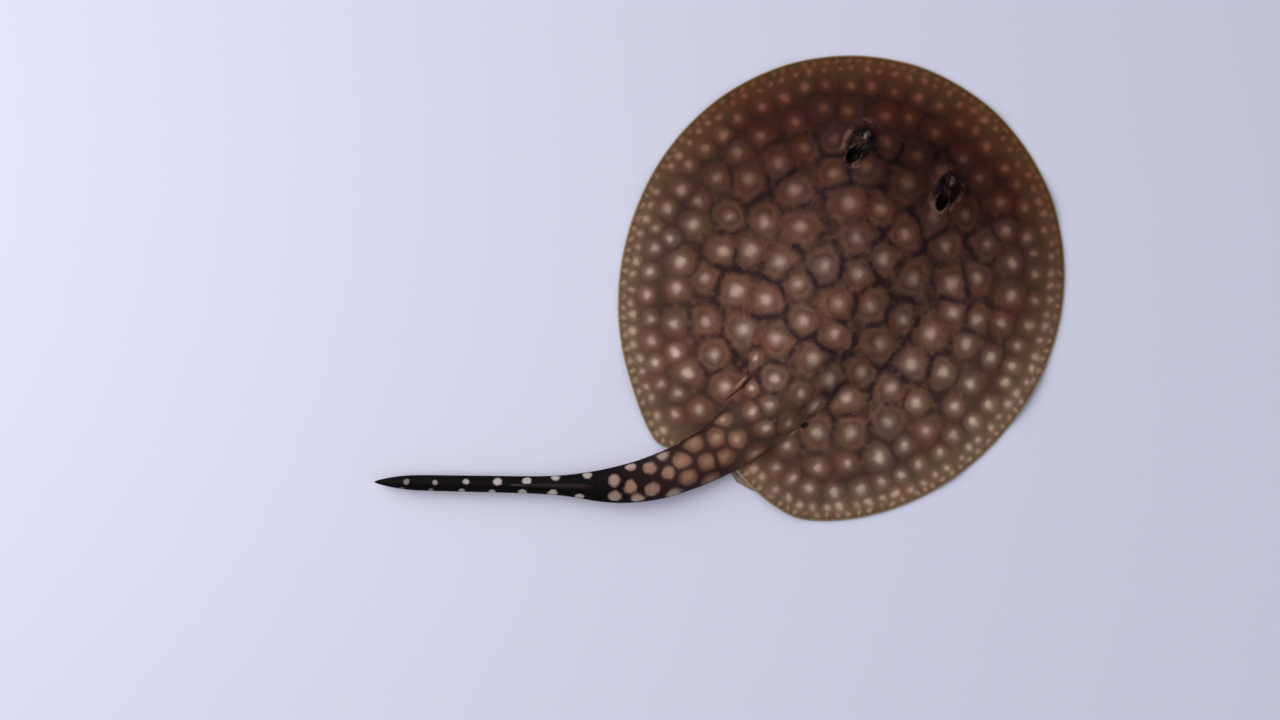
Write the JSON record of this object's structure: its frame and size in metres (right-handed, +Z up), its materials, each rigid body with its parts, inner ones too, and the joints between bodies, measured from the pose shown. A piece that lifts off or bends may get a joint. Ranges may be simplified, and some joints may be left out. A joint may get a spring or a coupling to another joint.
{
  "type": "freshwater stingray",
  "caption": "Young freshwater stingray lying flat, with a round spotted disc, raised head with eyes and spiracles, tucked pelvic fins and a tapering tail curved to its left.",
  "frame": {"origin": "on the floor under the midline of the back, where the disc is widest", "axes": "+Z up out of the back, -Y the way the snout points, +X to the animal's left"},
  "size_m": [0.1832, 0.2146, 0.0178],
  "materials": {
    "skin": "moist brown skin with cream spots in ringed rows, cream underside",
    "sting": "dark purplish skin sheath, satin",
    "eye": "wet dark eye with a gold-brown iris"
  },
  "bodies": {
    "root": {"head": "skin", "trunk": "skin", "tail_root": "skin", "tail_base": "skin", "tail_middle": "skin", "tail_tip": "skin", "tail_sting": "sting", "pectoral_fin_left": "skin", "pectoral_fin_right": "skin", "pelvic_fin_left": "skin", "pelvic_fin_right": "skin", "eye_left": "eye", "eye_right": "eye"}
  },
  "joints": []
}
